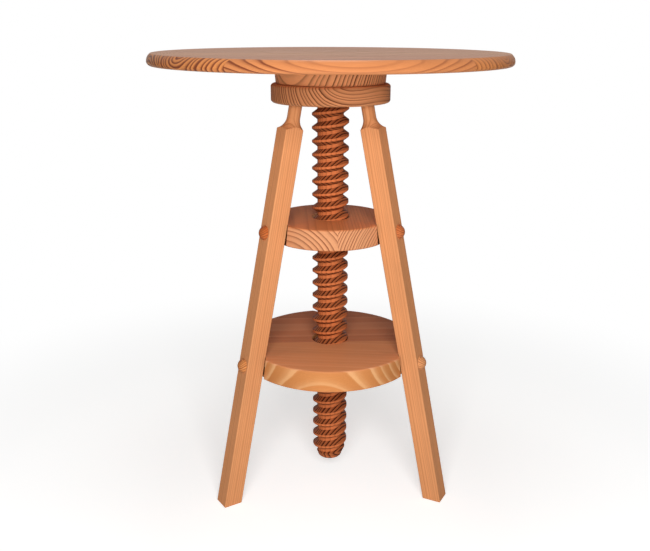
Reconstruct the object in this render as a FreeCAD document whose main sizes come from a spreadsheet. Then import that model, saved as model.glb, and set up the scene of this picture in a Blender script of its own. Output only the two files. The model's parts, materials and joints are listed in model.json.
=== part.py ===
import FreeCAD, Part
import math
import os
from types import SimpleNamespace
import Sketcher

# Swivel table. Three leaning legs and two round shelves hold up a threaded collar,
# and the round top is carried by a wooden screw that turns up and down in it.
# Millimetres, +Z up, the origin on the floor in the middle of the table.

DIMENSIONS = (
    ("table_height", 778.5, "floor to the top surface, screwed right down"),
    ("top_diameter", 600, "tabletop across its widest line"),
    ("top_thickness", 18.5, "tabletop boards"),
    ("top_edge_inset", 6.5, "flat top surface back from the widest line"),
    ("top_under_inset", 4, "flat underside back from the widest line"),
    ("top_under_height", 6, "underside up to the widest line"),
    ("top_board_width", 113, "each whole board of the top"),
    ("top_board_least", 45, "narrowest that the front or rear board of the top may be"),
    ("top_joint_offset", 17, "glue joint nearest the middle, to the front of it"),
    ("top_grain_turn", 4.2, "degrees that the boards are turned from left to right"),
    ("hub_upper_diameter", 190, "tapered disc under the top, upper face"),
    ("hub_lower_diameter", 184, "tapered disc under the top, lower face"),
    ("hub_thickness", 31, "tapered disc under the top"),
    ("hub_edge_round", 3, "round on the hub's lower edge"),
    ("rest_gap", 0.3, "hub above the collar when screwed right down"),
    ("collar_diameter", 201, "threaded disc on the legs"),
    ("collar_thickness", 30.7, "threaded disc on the legs"),
    ("collar_edge_round", 5, "round on both edges of the collar"),
    ("thread_pitch", 23, "rise for one turn, single start, right-handed"),
    ("thread_diameter", 63.5, "over the crests"),
    ("thread_root_diameter", 45.2, "at the bottom of the groove"),
    ("thread_root_width", 5.5, "flat at the bottom of the groove"),
    ("thread_crest_width", 4, "flat on the crest"),
    ("thread_clearance", 0.5, "between the screw and the collar's thread"),
    ("thread_overlap", 1, "ridge sunk into the core that carries it"),
    ("thread_start_height", 22.4, "height of a crest on the +X side"),
    ("thread_lead_in", 3, "bevel at both mouths of the collar's bore"),
    ("spindle_tip_height", 31.5, "lower end of the screw above the floor"),
    ("spindle_tip_diameter", 45, "small end of the taper"),
    ("spindle_tip_taper", 26, "length of the tapered end"),
    ("spindle_tip_round", 6, "round on the end's rim"),
    ("spindle_tenon_diameter", 40, "tenon on top of the screw"),
    ("spindle_tenon_length", 19, "tenon on top of the screw"),
    ("lag_diameter", 8, "lag screw down into the tenon"),
    ("lag_length", 62, "lag screw below its head"),
    ("lag_head_width", 13, "hexagon head across flats"),
    ("lag_head_height", 5.5, "hexagon head"),
    ("lag_point", 6, "tapered point of the lag screw"),
    ("lag_point_diameter", 1.6, "blunt end of the point"),
    ("washer_diameter", 24, "washer under the lag screw's head"),
    ("washer_thickness", 2, "washer under the lag screw's head"),
    ("recess_clearance", 1.5, "round the washer and over the head"),
    ("running_clearance", 0.3, "round the lag screw"),
    ("hub_screw_count", 6, "wood screws from the hub into the top"),
    ("hub_screw_circle", 150, "circle that the wood screws stand on"),
    ("hub_screw_diameter", 5, "wood screw shank"),
    ("hub_screw_head_diameter", 10, "countersunk head"),
    ("hub_screw_sink", 1, "head below the hub's lower face"),
    ("hub_screw_length", 42, "head to point"),
    ("hub_screw_point", 5, "tapered point"),
    ("mid_shelf_height", 500, "floor to the upper face"),
    ("mid_shelf_diameter", 206, "small shelf"),
    ("mid_shelf_thickness", 36, "small shelf"),
    ("mid_shelf_joint", 8, "glue joint to the right of the middle"),
    ("lower_shelf_height", 271, "floor to the upper face"),
    ("lower_shelf_diameter", 308, "large shelf"),
    ("lower_shelf_thickness", 38, "large shelf"),
    ("lower_shelf_joint", 20, "glue joint to the front of the middle"),
    ("shelf_edge_round", 3, "round on the shelf edges"),
    ("shelf_bore_clearance", 1.2, "between the screw and the plain bores"),
    ("leg_foot_radius", 215, "leg axis from the middle at the floor"),
    ("leg_top_radius", 71, "leg axis from the middle at the collar's underside"),
    ("leg_width", 33, "square section"),
    ("leg_arris", 2, "round on the long edges"),
    ("foot_chamfer", 1.5, "round the foot"),
    ("neck_diameter", 22, "turned neck and tenon"),
    ("neck_inset", 3, "neck's axis in from the leg's own axis"),
    ("cove_radius", 22, "hollow from the neck out to the square"),
    ("shoulder_drop", 43, "collar down to the outer corners of the square"),
    ("leg_tenon_depth", 24, "tenon into the collar, along the leg"),
    ("glue_gap", 0.1, "glue line round tenons, pegs and screws"),
    ("peg_head_diameter", 25, "domed head"),
    ("peg_head_height", 9.5, "domed head"),
    ("peg_shank_diameter", 14, "shank through the leg"),
    ("peg_depth", 30, "shank into the shelf from its edge"),
    ("peg_chamfer", 1.5, "round the shank's end"),
    ("spare", 5, "cutting tools past the faces that they cut"),
)

# The legs stand a third of a turn apart, the first at the back.
LEGS = (("rear", 90), ("left", 210), ("right", 330))
FULL_TURN = 360
HALF_TURN = 180
QUARTER_TURN = 90
HEXAGON_SIDES = 6
# Turns of the collar's thread cutter outside the collar, two below it and one above
CUTTER_TURNS_OUTSIDE = 3
# Edges and points closer than this lie in the same place
SAME_PLACE = 1e-3


class Size:
    """A number together with the sheet formula that leads to it."""

    def __init__(self, number, formula=None):
        self.number = float(number)
        self.formula = formula or repr(number)

    def __add__(self, other):
        other = as_size(other)
        return Size(self.number + other.number, f"({self.formula} + {other.formula})")

    def __sub__(self, other):
        other = as_size(other)
        return Size(self.number - other.number, f"({self.formula} - {other.formula})")

    def __mul__(self, other):
        other = as_size(other)
        return Size(self.number * other.number, f"{self.formula} * {other.formula}")

    def __truediv__(self, other):
        other = as_size(other)
        return Size(self.number / other.number, f"{self.formula} / ({other.formula})")

    def __neg__(self):
        return Size(-self.number, f"(-1 * {self.formula})")


def as_size(value):
    """A size stays as it is, and a plain number becomes one."""
    return value if isinstance(value, Size) else Size(value)


def sine(angle):
    """Sine of a size in degrees."""
    return Size(math.sin(math.radians(angle.number)), f"sin({angle.formula})")


def cosine(angle):
    """Cosine of a size in degrees."""
    return Size(math.cos(math.radians(angle.number)), f"cos({angle.formula})")


def arctangent(value):
    """Angle in degrees whose tangent is a size."""
    return Size(math.degrees(math.atan(value.number)), f"atan({value.formula})")


def square_root(value):
    """Square root of a size."""
    return Size(math.sqrt(value.number), f"sqrt({value.formula})")


def whole_part(value):
    """Largest whole number that is not above a size."""
    return Size(math.floor(value.number), f"floor({value.formula})")


def fill_sheet(sheet):
    """Write the driving dimensions to the sheet and hand them back as sizes."""
    sizes = {}
    for row, (alias, number, meaning) in enumerate(DIMENSIONS, start=1):
        sheet.set(f"A{row}", alias)
        sheet.set(f"B{row}", str(number))
        sheet.setAlias(f"B{row}", alias)
        sheet.set(f"C{row}", meaning)
        sizes[alias] = Size(number, f"dims.{alias}")
    return SimpleNamespace(**sizes)


doc = FreeCAD.newDocument("swivel_table")
dim = fill_sheet(doc.addObject("Spreadsheet::Sheet", "dims"))
doc.recompute()

# Heights and half sizes that several pieces share
top_radius = dim.top_diameter / 2
top_underside = dim.table_height - dim.top_thickness
hub_underside = top_underside - dim.hub_thickness
collar_top = hub_underside - dim.rest_gap
collar_underside = collar_top - dim.collar_thickness
crest_radius = dim.thread_diameter / 2
root_radius = dim.thread_root_diameter / 2
shelf_bore = crest_radius + dim.shelf_bore_clearance
socket_radius = dim.spindle_tenon_diameter / 2 + dim.glue_gap
socket_top = hub_underside + dim.spindle_tenon_length + dim.glue_gap
tenon_top = hub_underside + dim.spindle_tenon_length
recess_radius = dim.washer_diameter / 2 + dim.recess_clearance
recess_floor = top_underside - dim.washer_thickness - dim.lag_head_height - dim.recess_clearance
lag_bore = dim.lag_diameter / 2 + dim.running_clearance
half_leg = dim.leg_width / 2
neck_radius = dim.neck_diameter / 2
neck_to_face = half_leg + dim.neck_inset
neck_to_corner = square_root(neck_to_face * neck_to_face + half_leg * half_leg)

# A leg's lean from upright, and lengths measured up its axis from the floor
leg_lean = arctangent((dim.leg_foot_radius - dim.leg_top_radius) / collar_underside)
collar_along = collar_underside / cosine(leg_lean)
shoulder_along = collar_along - dim.shoulder_drop
cove_reach = neck_radius + dim.cove_radius - neck_to_corner
neck_along = shoulder_along + square_root(dim.cove_radius * dim.cove_radius - cove_reach * cove_reach)
tenon_along = collar_along + dim.leg_tenon_depth


def shelf_edge_on_leg(height, diameter, thickness):
    """How far up and across a leg the shelf's edge lies, at half its thickness."""
    middle = height - thickness / 2
    inward = dim.leg_foot_radius - diameter / 2
    along = middle * cosine(leg_lean) + inward * sine(leg_lean)
    across = middle * sine(leg_lean) - inward * cosine(leg_lean)
    return SimpleNamespace(along=along, across=across)


mid_edge = shelf_edge_on_leg(dim.mid_shelf_height, dim.mid_shelf_diameter, dim.mid_shelf_thickness)
lower_edge = shelf_edge_on_leg(dim.lower_shelf_height, dim.lower_shelf_diameter, dim.lower_shelf_thickness)


def bind(item, prop, value):
    """Tie a property to the sheet."""
    item.setExpression(prop, as_size(value).formula)


def vector_formula(x, y, z):
    """A point as a formula."""
    return f"vector({as_size(x).formula}; {as_size(y).formula}; {as_size(z).formula})"


def place(item, x, y, z, turn=0):
    """Set a piece down at a point, and then turn it about the Z axis."""
    turned = f"placement(vector(0; 0; 0); rotation({as_size(turn).formula}; 0; 0))"
    item.setExpression("Placement", f"{turned} * placement({vector_formula(x, y, z)}; rotation(0; 0; 0))")


def place_on_leg(item, azimuth, across, along, sideways=0, turn=0):
    """Set a piece on a leaning leg: outward across it, up along it, turned about its side."""
    bearing = Size(azimuth)
    foot = vector_formula(dim.leg_foot_radius * cosine(bearing), dim.leg_foot_radius * sine(bearing), 0)
    frame = f"placement({foot}; rotation({azimuth}; {(-leg_lean).formula}; 0))"
    local = f"placement({vector_formula(across, sideways, along)}; rotation(0; {turn}; 0))"
    item.setExpression("Placement", f"{frame} * {local}")


def origin_part(body, role):
    """One of a body's own origin planes."""
    return next(item for item in body.Origin.OriginFeatures if item.Role == role)


def new_body(name):
    """An empty body whose label names the piece."""
    body = doc.addObject("PartDesign::Body", name)
    body.Label = name
    return body


def new_sketch(body, name, plane):
    """A sketch on one of the body's origin planes."""
    sketch = body.newObject("Sketcher::SketchObject", name)
    sketch.AttachmentSupport = [(origin_part(body, plane), "")]
    sketch.MapMode = "FlatFace"
    return sketch


def fix_coordinate(sketch, kind, axis, geometry, point, value):
    """Hold one coordinate of a point, on the axis itself where it is nought."""
    value = as_size(value)
    if value.number == 0:
        sketch.addConstraint(Sketcher.Constraint("PointOnObject", geometry, point, axis))
        return
    if value.number > 0:
        constraint = Sketcher.Constraint(kind, -1, 1, geometry, point, value.number)
    else:
        value = -value
        constraint = Sketcher.Constraint(kind, geometry, point, -1, 1, value.number)
    index = sketch.addConstraint(constraint)
    bind(sketch, f"Constraints[{index}]", value)


def arc_between(start, end, radius, side):
    """The short arc between two points, with its centre on the left (1) or right (-1) of the way."""
    way = end - start
    middle = (start + end) * 0.5
    left = FreeCAD.Vector(-way.y, way.x, 0).normalize()
    centre = middle + left * (side * math.sqrt(radius ** 2 - (way.Length / 2) ** 2))
    first, last = (start, end) if side > 0 else (end, start)
    angles = [math.atan2(p.y - centre.y, p.x - centre.x) for p in (first, last)]
    circle = Part.Circle(centre, FreeCAD.Vector(0, 0, 1), radius)
    return Part.ArcOfCircle(circle, angles[0], angles[1])


def draw_outline(body, name, plane, corners, arcs=None):
    """A closed outline through corners given as sizes; arcs maps a side to (radius, centre side)."""
    arcs = arcs or {}
    sketch = new_sketch(body, name, plane)
    points = [FreeCAD.Vector(as_size(x).number, as_size(y).number, 0) for x, y in corners]
    ends = []
    for side, start in enumerate(points):
        end = points[(side + 1) % len(points)]
        if side in arcs:
            radius, centre_side = arcs[side]
            index = sketch.addGeometry(arc_between(start, end, radius.number, centre_side), False)
            ends.append((1, 2) if centre_side > 0 else (2, 1))
            rule = sketch.addConstraint(Sketcher.Constraint("Radius", index, radius.number))
            bind(sketch, f"Constraints[{rule}]", radius)
        else:
            sketch.addGeometry(Part.LineSegment(start, end), False)
            ends.append((1, 2))
    for side, (x, y) in enumerate(corners):
        before = side - 1 if side else len(corners) - 1
        joined = Sketcher.Constraint("Coincident", before, ends[before][1], side, ends[side][0])
        sketch.addConstraint(joined)
        fix_coordinate(sketch, "DistanceX", -2, side, ends[side][0], x)
        fix_coordinate(sketch, "DistanceY", -1, side, ends[side][0], y)
    doc.recompute()
    return sketch


def draw_circles(body, name, plane, circles):
    """Circles given as (x, y, radius) sizes."""
    sketch = new_sketch(body, name, plane)
    for index, (x, y, radius) in enumerate(circles):
        centre = FreeCAD.Vector(as_size(x).number, as_size(y).number, 0)
        sketch.addGeometry(Part.Circle(centre, FreeCAD.Vector(0, 0, 1), radius.number), False)
        rule = sketch.addConstraint(Sketcher.Constraint("Radius", index, radius.number))
        bind(sketch, f"Constraints[{rule}]", radius)
        fix_coordinate(sketch, "DistanceX", -2, index, 3, x)
        fix_coordinate(sketch, "DistanceY", -1, index, 3, y)
    doc.recompute()
    return sketch


def body_volume(body):
    """Volume of a body as far as it is built, nought for an empty one."""
    return body.Shape.Volume if body.Tip and not body.Shape.isNull() else 0.0


def finish_feature(body, feature, before, adds):
    """Recompute a feature and make sure that it added or removed material."""
    doc.recompute()
    change = feature.Shape.Volume - before
    if (change <= 0) == adds:
        raise RuntimeError(f"{body.Label}: {feature.Name} changed the volume by {change}")
    body.Tip = feature
    return feature


def turn_outline(body, name, sketch, adds=True, axis="V_Axis"):
    """Revolve an outline about an axis of its sketch, to add or to cut."""
    before = body_volume(body)
    kind = "PartDesign::Revolution" if adds else "PartDesign::Groove"
    feature = body.newObject(kind, name)
    feature.Profile = sketch
    feature.ReferenceAxis = (sketch, [axis])
    feature.Angle = FULL_TURN
    return finish_feature(body, feature, before, adds)


def wind_outline(body, name, sketch, height, adds=True):
    """Sweep an outline up the thread's helix, to add or to cut."""
    before = body_volume(body)
    kind = "PartDesign::AdditiveHelix" if adds else "PartDesign::SubtractiveHelix"
    feature = body.newObject(kind, name)
    feature.Profile = sketch
    feature.ReferenceAxis = (sketch, ["V_Axis"])
    feature.Mode = "pitch-height-angle"
    bind(feature, "Pitch", dim.thread_pitch)
    bind(feature, "Height", height)
    return finish_feature(body, feature, before, adds)


def cut_through(body, name, sketch):
    """Pocket an outline through the whole body on both sides of its plane."""
    before = body_volume(body)
    feature = body.newObject("PartDesign::Pocket", name)
    feature.Profile = sketch
    feature.Type = "ThroughAll"
    feature.SideType = "Symmetric"
    return finish_feature(body, feature, before, adds=False)


def ease_edges(body, name, kind, prop, size, chosen):
    """Fillet or chamfer the edges of the body's tip that a test picks."""
    base = body.Tip
    before = base.Shape.Volume
    names = [f"Edge{i}" for i, edge in enumerate(base.Shape.Edges, start=1) if chosen(edge)]
    feature = body.newObject(kind, name)
    feature.Base = (base, names)
    bind(feature, prop, size)
    return finish_feature(body, feature, before, adds=False)


def pattern_round(body, name, feature, count):
    """Repeat a feature round the Z axis."""
    ring = body.newObject("PartDesign::PolarPattern", name)
    ring.Originals = [feature]
    ring.Axis = (origin_part(body, "Z_Axis"), [""])
    ring.Angle = FULL_TURN
    bind(ring, "Occurrences", count)
    body.Tip = ring
    doc.recompute()
    return body


def ring_at(radius, height):
    """Test for a circular edge round Z with a given radius and height."""

    def chosen(edge):
        curve = edge.Curve
        if not isinstance(curve, Part.Circle):
            return False
        right_size = abs(curve.Radius - radius.number) < SAME_PLACE
        return right_size and abs(curve.Center.z - height.number) < SAME_PLACE

    return chosen


def either(*tests):
    """Test that passes where one of several does."""
    return lambda edge: any(test(edge) for test in tests)


def part_box(name, length, width, height):
    """A bound box."""
    box = doc.addObject("Part::Box", name)
    bind(box, "Length", length)
    bind(box, "Width", width)
    bind(box, "Height", height)
    return box


def part_cylinder(name, radius, height):
    """A bound cylinder."""
    cylinder = doc.addObject("Part::Cylinder", name)
    bind(cylinder, "Radius", radius)
    bind(cylinder, "Height", height)
    return cylinder


def part_cut(name, base, tools):
    """Cut several tools out of a shape."""
    tool = tools[0]
    if len(tools) > 1:
        tool = doc.addObject("Part::MultiFuse", f"{name}_tools")
        tool.Shapes = tools
    cut = doc.addObject("Part::Cut", name)
    cut.Base = base
    cut.Tool = tool
    cut.Label = name
    doc.recompute()
    if cut.Shape.Volume >= base.Shape.Volume:
        raise RuntimeError(f"{name}: nothing was cut")
    return cut


def part_common(name, base, box):
    """The piece of a shape that lies in a box."""
    common = doc.addObject("Part::Common", name)
    common.Base = base
    common.Tool = box
    common.Label = name
    return common


# Screw thread

def ridge_half_width(radius):
    """Half the ridge's width at a radius, on its straight flanks."""
    crest = dim.thread_crest_width / 2
    root = (dim.thread_pitch - dim.thread_root_width) / 2
    return crest + (root - crest) * (crest_radius - radius) / (crest_radius - root_radius)


def draw_ridge(body, name, inner, outer, middle, clearance):
    """Section of the ridge on the +X side, widened by a clearance on both flanks."""
    low = ridge_half_width(inner) + clearance
    high = ridge_half_width(outer) + clearance
    corners = [
        (inner, middle - low),
        (outer, middle - high),
        (outer, middle + high),
        (inner, middle + low),
    ]
    return draw_outline(body, name, "XZ_Plane", corners)


def make_spindle():
    """The wooden screw: threaded, tapered at its lower end, with a drilled tenon on top."""
    body = new_body("spindle")
    start = dim.thread_start_height - dim.thread_pitch
    bottom = start - dim.thread_pitch
    above = tenon_top + dim.thread_pitch
    pilot_bottom = recess_floor + dim.washer_thickness - dim.lag_length - dim.running_clearance
    core = [(0, bottom), (root_radius, bottom), (root_radius, tenon_top), (0, tenon_top)]
    turn_outline(body, "spindle_core", draw_outline(body, "spindle_core_outline", "XZ_Plane", core))
    ridge = draw_ridge(body, "spindle_ridge", root_radius - dim.thread_overlap, crest_radius, start, 0)
    wind_outline(body, "spindle_thread", ridge, hub_underside + dim.thread_pitch - start)
    outside = crest_radius + dim.spare
    tenon_radius = dim.spindle_tenon_diameter / 2
    tenon = [
        (tenon_radius, hub_underside),
        (outside, hub_underside),
        (outside, above + dim.thread_pitch),
        (tenon_radius, above + dim.thread_pitch),
    ]
    turn_outline(body, "spindle_tenon", draw_outline(body, "spindle_tenon_cut", "XZ_Plane", tenon), False)
    tip = dim.spindle_tip_height
    tip_radius = dim.spindle_tip_diameter / 2
    taper = [
        (0, bottom - dim.spare),
        (outside, bottom - dim.spare),
        (outside, tip + dim.spindle_tip_taper),
        (crest_radius, tip + dim.spindle_tip_taper),
        (tip_radius, tip + dim.spindle_tip_round),
        (tip_radius - dim.spindle_tip_round, tip),
        (0, tip),
    ]
    tip_cut = draw_outline(body, "spindle_tip_cut", "XZ_Plane", taper, {4: (dim.spindle_tip_round, -1)})
    turn_outline(body, "spindle_tip", tip_cut, adds=False)
    pilot = [
        (0, pilot_bottom),
        (dim.lag_point_diameter / 2 + dim.running_clearance, pilot_bottom),
        (lag_bore, pilot_bottom + dim.lag_point),
        (lag_bore, tenon_top + dim.spare),
        (0, tenon_top + dim.spare),
    ]
    turn_outline(body, "spindle_pilot", draw_outline(body, "spindle_pilot_cut", "XZ_Plane", pilot), False)
    return body


def make_collar():
    """The threaded disc that the legs are tenoned into."""
    body = new_body("collar_blank")
    bore = root_radius + dim.thread_clearance
    outer = dim.collar_diameter / 2
    disc = [
        (bore + dim.thread_lead_in, collar_underside),
        (outer, collar_underside),
        (outer, collar_top),
        (bore + dim.thread_lead_in, collar_top),
        (bore, collar_top - dim.thread_lead_in),
        (bore, collar_underside + dim.thread_lead_in),
    ]
    turn_outline(body, "collar_disc", draw_outline(body, "collar_outline", "XZ_Plane", disc))
    rims = either(ring_at(outer, collar_underside), ring_at(outer, collar_top))
    ease_edges(body, "collar_edges", "PartDesign::Fillet", "Radius", dim.collar_edge_round, rims)
    turns_below = whole_part((collar_underside - dim.thread_start_height) / dim.thread_pitch) - 1
    start = dim.thread_start_height + turns_below * dim.thread_pitch
    groove = draw_ridge(
        body,
        "collar_groove",
        bore - dim.thread_overlap,
        crest_radius + dim.thread_clearance,
        start,
        dim.thread_clearance,
    )
    run = dim.collar_thickness + dim.thread_pitch * CUTTER_TURNS_OUTSIDE
    wind_outline(body, "collar_thread", groove, run, adds=False)
    mortises = []
    for side, azimuth in LEGS:
        depth = dim.leg_tenon_depth + dim.glue_gap + dim.spare
        mortise = part_cylinder(f"mortise_{side}", neck_radius + dim.glue_gap, depth)
        place_on_leg(mortise, azimuth, -dim.neck_inset, collar_along - dim.spare)
        mortises.append(mortise)
    return part_cut("threaded_collar", body, mortises)


# Turning top

def make_hub_screws():
    """Countersunk wood screws from the hub into the top, one node of separate screws."""
    body = new_body("hub_screws")
    middle = dim.hub_screw_circle / 2
    head = dim.hub_screw_head_diameter / 2
    shank = dim.hub_screw_diameter / 2
    face = hub_underside + dim.hub_screw_sink
    point = face + dim.hub_screw_length
    outline = draw_outline(
        body,
        "hub_screw_outline",
        "XZ_Plane",
        [
            (middle, face),
            (middle + head, face),
            (middle + shank, face + head - shank),
            (middle + shank, point - dim.hub_screw_point),
            (middle, point),
        ],
    )
    screw = body.newObject("PartDesign::Revolution", "hub_screw")
    screw.Profile = outline
    screw.ReferenceAxis = (outline, ["Edge5"])
    screw.Angle = FULL_TURN
    finish_feature(body, screw, 0.0, adds=True)
    return pattern_round(body, "hub_screw_ring", screw, dim.hub_screw_count)


def make_hub():
    """The tapered disc between the screw and the top."""
    body = new_body("hub")
    outline = [
        (socket_radius, hub_underside),
        (dim.hub_lower_diameter / 2, hub_underside),
        (dim.hub_upper_diameter / 2, top_underside),
        (recess_radius, top_underside),
        (recess_radius, recess_floor),
        (lag_bore, recess_floor),
        (lag_bore, socket_top),
        (socket_radius, socket_top),
    ]
    turn_outline(body, "hub_disc", draw_outline(body, "hub_outline", "XZ_Plane", outline))
    rim = ring_at(dim.hub_lower_diameter / 2, hub_underside)
    ease_edges(body, "hub_edge", "PartDesign::Fillet", "Radius", dim.hub_edge_round, rim)
    middle = dim.hub_screw_circle / 2
    head = dim.hub_screw_head_diameter / 2 + dim.hub_screw_sink + dim.glue_gap
    shank = dim.hub_screw_diameter / 2 + dim.glue_gap
    hole_outline = draw_outline(
        body,
        "hub_hole_outline",
        "XZ_Plane",
        [
            (middle, hub_underside),
            (middle + head, hub_underside),
            (middle + shank, hub_underside + head - shank),
            (middle + shank, top_underside),
            (middle, top_underside),
        ],
    )
    before = body_volume(body)
    hole = body.newObject("PartDesign::Groove", "hub_hole")
    hole.Profile = hole_outline
    hole.ReferenceAxis = (hole_outline, ["Edge5"])
    hole.Angle = FULL_TURN
    finish_feature(body, hole, before, adds=False)
    return pattern_round(body, "hub_hole_ring", hole, dim.hub_screw_count)


def make_top_boards():
    """The round top, drilled for the hub's screws and divided into its glued boards, front to rear."""
    body = new_body("top_blank")
    under_inset = dim.top_under_inset
    upper_drop = dim.top_thickness - dim.top_under_height
    upper_arc = (dim.top_edge_inset * dim.top_edge_inset + upper_drop * upper_drop) / (dim.top_edge_inset * 2)
    under_rise = dim.top_under_height
    under_arc = (under_inset * under_inset + under_rise * under_rise) / (under_inset * 2)
    outline = [
        (0, top_underside),
        (top_radius - under_inset, top_underside),
        (top_radius, top_underside + under_rise),
        (top_radius - dim.top_edge_inset, dim.table_height),
        (0, dim.table_height),
    ]
    arcs = {1: (under_arc, 1), 2: (upper_arc, 1)}
    turn_outline(body, "top_disc", draw_outline(body, "top_outline", "XZ_Plane", outline, arcs))
    pilots = []
    entry = dim.hub_screw_sink + dim.hub_screw_length + dim.glue_gap - dim.hub_thickness
    for index in range(int(dim.hub_screw_count.number)):
        turn = Size(index) * FULL_TURN / dim.hub_screw_count
        pilot = part_cylinder(f"pilot_{index}", dim.hub_screw_diameter / 2 + dim.glue_gap, entry + dim.spare)
        place(
            pilot,
            dim.hub_screw_circle / 2 * cosine(turn),
            dim.hub_screw_circle / 2 * sine(turn),
            top_underside - dim.spare,
        )
        pilots.append(pilot)
    drilled = part_cut("top_drilled", body, pilots)
    outside = top_radius + dim.spare
    reach = top_radius - dim.top_board_least
    first = -whole_part((reach - dim.top_joint_offset) / dim.top_board_width)
    last = whole_part((reach + dim.top_joint_offset) / dim.top_board_width)
    edges = [-outside]
    for index in range(int(last.number - first.number) + 1):
        edges.append((first + index) * dim.top_board_width - dim.top_joint_offset)
    edges.append(outside)
    boards = []
    for number, (near, far) in enumerate(zip(edges, edges[1:]), start=1):
        box = part_box(f"top_strip_{number}", outside * 2, far - near, dim.top_thickness + dim.spare * 2)
        place(box, -outside, near, top_underside - dim.spare, dim.top_grain_turn)
        boards.append(part_common(f"top_board_{number}", drilled, box))
    return boards


def make_lag_screw():
    """The hexagon-headed screw that holds the hub down on the spindle's tenon."""
    seat = recess_floor + dim.washer_thickness
    shank_length = dim.lag_length - dim.lag_point
    head = doc.addObject("Part::Prism", "lag_head")
    head.Polygon = HEXAGON_SIDES
    bind(head, "Circumradius", dim.lag_head_width / 2 / cosine(Size(HALF_TURN / HEXAGON_SIDES)))
    bind(head, "Height", dim.lag_head_height)
    place(head, 0, 0, seat)
    shank = part_cylinder("lag_shank", dim.lag_diameter / 2, shank_length)
    place(shank, 0, 0, seat - shank_length)
    point = doc.addObject("Part::Cone", "lag_tip")
    bind(point, "Radius1", dim.lag_point_diameter / 2)
    bind(point, "Radius2", dim.lag_diameter / 2)
    bind(point, "Height", dim.lag_point)
    place(point, 0, 0, seat - dim.lag_length)
    screw = doc.addObject("Part::MultiFuse", "spindle_lag_screw")
    screw.Shapes = [head, shank, point]
    screw.Label = "spindle_lag_screw"
    return screw


def make_washer():
    """The washer under the lag screw's head."""
    disc = part_cylinder("washer_disc", dim.washer_diameter / 2, dim.washer_thickness)
    place(disc, 0, 0, recess_floor)
    hole_radius = dim.lag_diameter / 2 + dim.glue_gap
    hole = part_cylinder("washer_hole", hole_radius, dim.washer_thickness + dim.spare * 2)
    place(hole, 0, 0, recess_floor - dim.spare)
    return part_cut("spindle_washer", disc, [hole])


# Stand

def make_leg(side, azimuth):
    """A square leaning leg, turned to a neck and tenon at the top and cut level at the foot."""
    name = f"leg_{side}"
    body = new_body(name)
    below = dim.leg_width
    square = [(-half_leg, -half_leg), (half_leg, -half_leg), (half_leg, half_leg), (-half_leg, half_leg)]
    section = draw_outline(body, f"{name}_section", "XY_Plane", square)
    bind(section, "AttachmentOffset.Base.z", -below)
    bar = body.newObject("PartDesign::Pad", f"{name}_bar")
    bar.Profile = section
    bind(bar, "Length", tenon_along + below)
    finish_feature(body, bar, 0.0, adds=True)

    outside = neck_to_corner + dim.spare
    above = tenon_along + dim.spare
    turned = [
        (neck_radius, neck_along),
        (neck_to_corner, shoulder_along),
        (outside, shoulder_along),
        (outside, above),
        (neck_radius, above),
    ]
    neck = draw_outline(body, f"{name}_neck_cut", "XZ_Plane", turned, {0: (dim.cove_radius, 1)})
    bind(neck, "AttachmentOffset.Base.x", -dim.neck_inset)
    turn_outline(body, f"{name}_neck", neck, adds=False)
    fall = dim.leg_width * sine(leg_lean) / cosine(leg_lean)
    floor = [
        (-dim.leg_width, fall),
        (-dim.leg_width, -below * 2),
        (dim.leg_width, -below * 2),
        (dim.leg_width, -fall),
    ]
    cut_through(body, f"{name}_foot", draw_outline(body, f"{name}_floor", "XZ_Plane", floor))

    def on_floor(edge):
        lean = math.radians(leg_lean.number)
        heights = [v.X * math.sin(lean) + v.Z * math.cos(lean) for v in edge.Vertexes]
        return all(abs(height) < SAME_PLACE for height in heights)

    ease_edges(body, f"{name}_foot_edge", "PartDesign::Chamfer", "Size", dim.foot_chamfer, on_floor)

    def is_long(edge):
        return edge.Length > shoulder_along.number / 2

    ease_edges(body, f"{name}_arris", "PartDesign::Fillet", "Radius", dim.leg_arris, is_long)
    bore = dim.peg_shank_diameter / 2 + dim.glue_gap
    circles = [(0, mid_edge.along, bore), (0, lower_edge.along, bore)]
    bores = draw_circles(body, f"{name}_bores", "YZ_Plane", circles)
    cut_through(body, f"{name}_peg_bores", bores)
    place_on_leg(body, azimuth, 0, 0)
    return body


def make_peg(name, azimuth, edge):
    """A domed peg, square to the leg, through it and into the shelf's edge."""
    body = new_body(name)
    head = dim.peg_head_diameter / 2
    rise = dim.peg_head_height
    dome = (head * head + rise * rise) / (rise * 2)
    shank = dim.peg_shank_diameter / 2
    end = edge.across - dim.peg_depth
    outline = [
        (end, 0),
        (end, shank - dim.peg_chamfer),
        (end + dim.peg_chamfer, shank),
        (half_leg, shank),
        (half_leg, head),
        (half_leg + rise, 0),
    ]
    sketch = draw_outline(body, f"{name}_outline", "XZ_Plane", outline, {4: (dome, -1)})
    turn_outline(body, f"{name}_turned", sketch, axis="H_Axis")
    place_on_leg(body, azimuth, 0, edge.along)
    return body


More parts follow.
